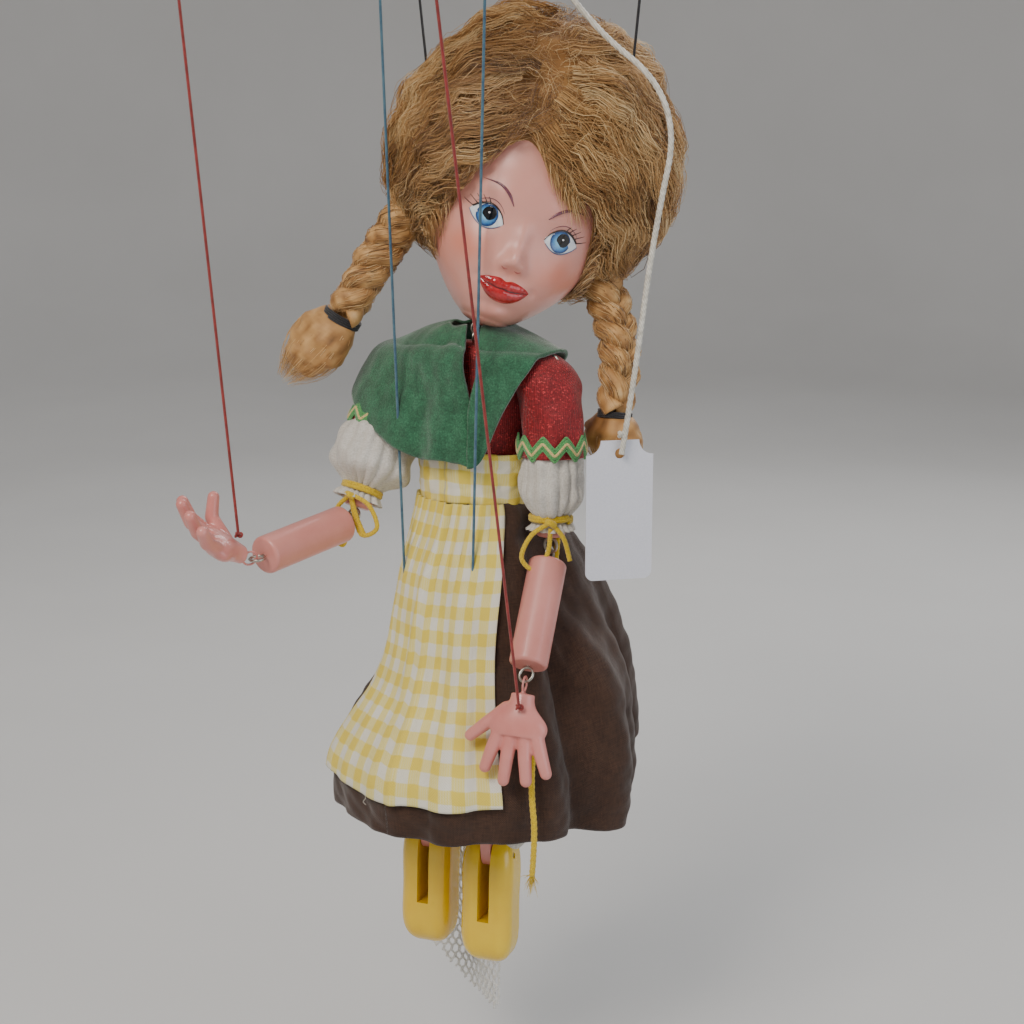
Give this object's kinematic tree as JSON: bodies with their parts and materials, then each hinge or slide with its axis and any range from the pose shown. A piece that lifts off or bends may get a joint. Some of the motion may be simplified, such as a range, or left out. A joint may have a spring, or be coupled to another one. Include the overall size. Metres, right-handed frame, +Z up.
{
  "type": "marionette puppet",
  "caption": "String puppet of a girl with braids, hung from a wooden control by strings to its head, hands and knees.",
  "frame": {"origin": "centre of the hanging hole in the control's main bar", "axes": "+Z up along the hanging hole, -Y the way the puppet's body faces, +X its own left"},
  "size_m": [0.127, 0.1556, 0.426],
  "materials": {
    "bare_wood": "sanded hardwood, thin clear varnish",
    "body_wood": "turned wood, unpainted",
    "pink_paint": "wood with satin pink paint",
    "pink_moulding": "moulded composition with satin pink paint",
    "mohair": "golden brown mohair",
    "black_thread": "waxed black thread",
    "red_thread": "waxed red thread",
    "blue_thread": "waxed blue-grey thread",
    "white_thread": "twisted cotton string",
    "steel": "zinc-plated screws",
    "nickel_wire": "nickel-plated wire",
    "red_cloth": "red woven cloth with a slight sheen",
    "green_felt": "green felt",
    "green_trim": "green and gold zigzag braid",
    "white_cotton": "thin white cotton",
    "white_net": "white cotton net",
    "yellow_gingham": "yellow and white gingham cotton",
    "brown_cloth": "dark brown brushed cotton",
    "yellow_yarn": "yellow wool yarn",
    "yellow_paint": "wood with gloss yellow paint",
    "card": "white card"
  },
  "bodies": {
    "torso": {"control_main_bar": "bare_wood", "control_hand_bar": "bare_wood", "control_leg_bar": "bare_wood", "control_head_bar": "bare_wood", "control_screws": "steel", "torso_block": "body_wood", "torso_screw_eyes": "nickel_wire", "bodice": "red_cloth", "collar": "green_felt", "waistband": "yellow_gingham", "apron": "yellow_gingham", "skirt": "brown_cloth", "petticoat": "white_cotton", "net_trim": "white_net", "tag_string": "white_thread"},
    "head": {"head": "pink_moulding", "head_screw_eyes": "nickel_wire", "wig": "mohair"},
    "braid_left": {"braid_left": "mohair", "braid_tie_left": "black_thread"},
    "upper_arm_left": {"upper_arm_left": "body_wood", "upper_arm_screw_eyes_left": "nickel_wire", "sleeve_left": "red_cloth", "zigzag_trim_left": "green_trim", "puff_sleeve_left": "white_cotton", "yarn_tie_left": "yellow_yarn"},
    "forearm_left": {"forearm_left": "pink_paint", "forearm_screw_eyes_left": "nickel_wire"},
    "hand_left": {"hand_left": "pink_moulding"},
    "thigh_left": {"thigh_left": "pink_paint", "thigh_screw_eyes_left": "nickel_wire"},
    "shin_left": {"shin_left": "pink_paint", "shin_screw_eye_left": "nickel_wire"},
    "shoe_left": {"shoe_left": "yellow_paint", "ankle_pin_left": "nickel_wire"},
    "hand_string_left": {"hand_string_left": "red_thread"},
    "knee_string_left": {"knee_string_left": "blue_thread"},
    "head_string_left": {"head_string_left": "black_thread"},
    "braid_right": {"braid_right": "mohair", "braid_tie_right": "black_thread"},
    "upper_arm_right": {"upper_arm_right": "body_wood", "upper_arm_screw_eyes_right": "nickel_wire", "sleeve_right": "red_cloth", "zigzag_trim_right": "green_trim", "puff_sleeve_right": "white_cotton", "yarn_tie_right": "yellow_yarn"},
    "forearm_right": {"forearm_right": "pink_paint", "forearm_screw_eyes_right": "nickel_wire"},
    "hand_right": {"hand_right": "pink_moulding"},
    "thigh_right": {"thigh_right": "pink_paint", "thigh_screw_eyes_right": "nickel_wire"},
    "shin_right": {"shin_right": "pink_paint", "shin_screw_eye_right": "nickel_wire"},
    "shoe_right": {"shoe_right": "yellow_paint", "ankle_pin_right": "nickel_wire"},
    "hand_string_right": {"hand_string_right": "red_thread"},
    "knee_string_right": {"knee_string_right": "blue_thread"},
    "head_string_right": {"head_string_right": "black_thread"},
    "price_tag": {"price_tag": "card"},
    "yarn_tail": {"yarn_tail": "yellow_yarn"}
  },
  "joints": [
    {"name": "shoulder_left", "type": "hinge", "parent": "torso", "child": "upper_arm_left", "pos_m": [0.029, 0, -0.192], "axis": [-0.9706, -0.238, -0.0363], "range_deg": [-9.7, 0]},
    {"name": "elbow_left", "type": "hinge", "parent": "upper_arm_left", "child": "forearm_left", "pos_m": [0.02999, -0.00199, -0.24896], "axis": [-0.9706, -0.238, -0.0363], "range_deg": [0, 30]},
    {"name": "wrist_left", "type": "hinge", "parent": "forearm_left", "child": "hand_left", "pos_m": [0.03829, -0.02709, -0.2835], "axis": [-0.9706, -0.238, -0.0363], "range_deg": [-17, 0]},
    {"name": "hand_string_slide_left", "type": "slide", "parent": "torso", "child": "hand_string_left", "axis": [0.0106, -0.1926, 0.9812], "range_m": [0, 0.0124]},
    {"name": "hip_left", "type": "hinge", "parent": "torso", "child": "thigh_left", "pos_m": [0.011, 0, -0.255], "axis": [-1, 0, 0], "range_deg": [0, 18]},
    {"name": "knee_left", "type": "hinge", "parent": "thigh_left", "child": "shin_left", "pos_m": [0.01261, -0.01647, -0.29792], "axis": [-1, 0, 0], "range_deg": [-18.5, 0]},
    {"name": "ankle_left", "type": "hinge", "parent": "shin_left", "child": "shoe_left", "pos_m": [0.01261, -0.01083, -0.35162], "axis": [-0.9613, -0.2756, 0], "range_deg": [0, 45]},
    {"name": "knee_string_slide_left", "type": "slide", "parent": "torso", "child": "knee_string_left", "axis": [0.0341, -0.0037, 0.9994], "range_m": [0, 0.0085]},
    {"name": "shoulder_right", "type": "hinge", "parent": "torso", "child": "upper_arm_right", "pos_m": [-0.029, 0, -0.192], "axis": [-0.9933, 0.1122, -0.0286], "range_deg": [0, 1.2]},
    {"name": "elbow_right", "type": "hinge", "parent": "upper_arm_right", "child": "forearm_right", "pos_m": [-0.03298, -0.02403, -0.24353], "axis": [-0.9933, 0.1122, -0.0286], "range_deg": [0, 12]},
    {"name": "wrist_right", "type": "hinge", "parent": "forearm_right", "child": "hand_right", "pos_m": [-0.03525, -0.06715, -0.24883], "axis": [-0.9933, 0.1122, -0.0286], "range_deg": [-11.3, 0]},
    {"name": "hand_string_slide_right", "type": "slide", "parent": "torso", "child": "hand_string_right", "axis": [-0.0364, -0.068, 0.997], "range_m": [0, 0.0103]},
    {"name": "hip_right", "type": "hinge", "parent": "torso", "child": "thigh_right", "pos_m": [-0.011, 0, -0.255], "axis": [-1, 0, 0], "range_deg": [0, 18]},
    {"name": "knee_right", "type": "hinge", "parent": "thigh_right", "child": "shin_right", "pos_m": [-0.01261, -0.01647, -0.29792], "axis": [-1, 0, 0], "range_deg": [-18.5, 0]},
    {"name": "ankle_right", "type": "hinge", "parent": "shin_right", "child": "shoe_right", "pos_m": [-0.01261, -0.01083, -0.35162], "axis": [-0.9613, -0.2756, 0], "range_deg": [0, 45]},
    {"name": "knee_string_slide_right", "type": "slide", "parent": "torso", "child": "knee_string_right", "axis": [-0.0341, -0.0037, 0.9994], "range_m": [0, 0.0085]},
    {"name": "yarn_swing", "type": "hinge", "parent": "upper_arm_left", "child": "yarn_tail", "pos_m": [0.02999, 0.00361, -0.24596], "axis": [-0.9706, -0.238, -0.0363], "range_deg": [0, 19.5]},
    {"name": "head_tip_back", "type": "hinge", "parent": "torso", "child": "head", "pos_m": [0, 0, -0.183], "axis": [-0.7602, -0.5523, 0.342], "range_deg": [0, 10]},
    {"name": "head_string_swing_left", "type": "hinge", "parent": "torso", "child": "head_string_left", "pos_m": [0.05, 0.025, -0.016], "axis": [0.7967, 0.5988, -0.082], "range_deg": [0, 3.67]},
    {"name": "head_string_swing_right", "type": "hinge", "parent": "torso", "child": "head_string_right", "pos_m": [-0.05, 0.025, -0.016], "axis": [0.7884, 0.6061, 0.1052], "range_deg": [0, 3.82]},
    {"name": "braid_swing_left", "type": "hinge", "parent": "head", "child": "braid_left", "pos_m": [0.03006, 0.02552, -0.16781], "axis": [0.5878, -0.809, 0], "range_deg": [0, 15]},
    {"name": "braid_swing_right", "type": "hinge", "parent": "head", "child": "braid_right", "pos_m": [-0.02194, -0.00448, -0.14281], "axis": [-0.5878, 0.809, 0], "range_deg": [0, 15]},
    {"name": "tag_swing", "type": "hinge", "parent": "torso", "child": "price_tag", "pos_m": [0.05587, -0.00311, -0.2154], "axis": [-0.6428, -0.766, 0], "range_deg": [-6, 25]}
  ],
  "couplings": [
    {"joint": "shoulder_left", "follows": "elbow_left", "ratio": -0.308},
    {"joint": "wrist_left", "follows": "elbow_left", "ratio": -0.55},
    {"joint": "hand_string_slide_left", "follows": "elbow_left", "m_per_rad": 0.02328},
    {"joint": "knee_left", "follows": "hip_left", "ratio": -1},
    {"joint": "knee_string_slide_left", "follows": "hip_left", "m_per_rad": 0.02633},
    {"joint": "shoulder_right", "follows": "elbow_right", "ratio": 0.061},
    {"joint": "wrist_right", "follows": "elbow_right", "ratio": -0.9},
    {"joint": "hand_string_slide_right", "follows": "elbow_right", "m_per_rad": 0.04846},
    {"joint": "knee_right", "follows": "hip_right", "ratio": -1},
    {"joint": "knee_string_slide_right", "follows": "hip_right", "m_per_rad": 0.02633},
    {"joint": "yarn_swing", "follows": "elbow_left", "ratio": 0.64},
    {"joint": "head_string_swing_left", "follows": "head_tip_back", "ratio": 0.3371},
    {"joint": "head_string_swing_right", "follows": "head_tip_back", "ratio": 0.3522}
  ]
}
